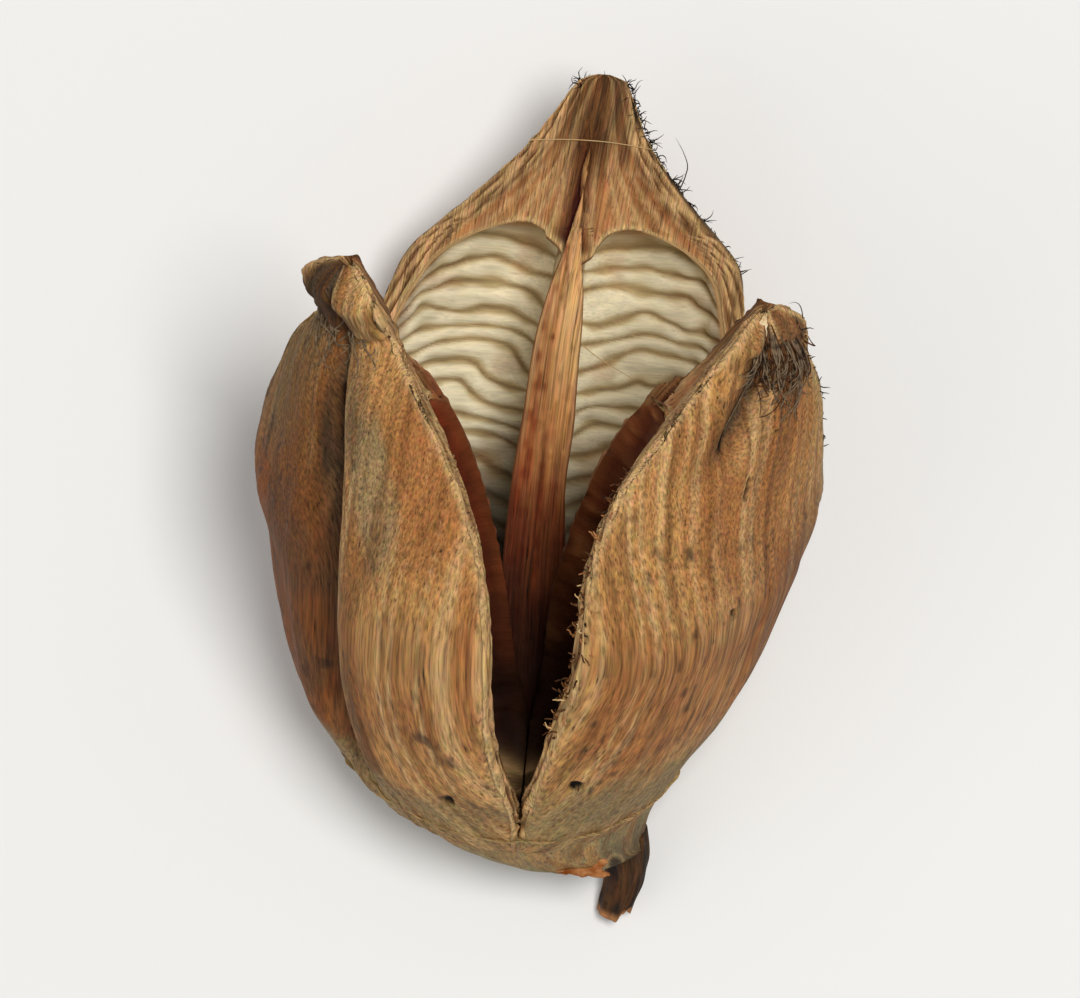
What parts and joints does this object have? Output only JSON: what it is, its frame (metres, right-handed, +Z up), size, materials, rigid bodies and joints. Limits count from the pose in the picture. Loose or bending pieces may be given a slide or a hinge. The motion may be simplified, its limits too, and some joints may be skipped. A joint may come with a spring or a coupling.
{
  "type": "dried seed pod",
  "caption": "Dried woody seed pod, split open into boat-shaped valves joined at the base, with empty seed chambers and a stub of stalk.",
  "frame": {"origin": "the middle of the bounding box's underside, on the surface the pod lies on", "axes": "+Z up from the surface; +Y from the stalk towards the tips of the valves; +X to the right, seen from above with the tips pointing away"},
  "size_m": [0.0496, 0.0762, 0.0546],
  "materials": {
    "pod_wood": "dry, fibrous and matt, golden brown outside, cream in the seed chambers",
    "stalk_wood": "dark, rough and matt"
  },
  "bodies": {
    "root": {"valve_back": "pod_wood", "valve_left": "pod_wood", "valve_right": "pod_wood", "pod_base": "pod_wood", "stalk": "stalk_wood"}
  },
  "joints": []
}
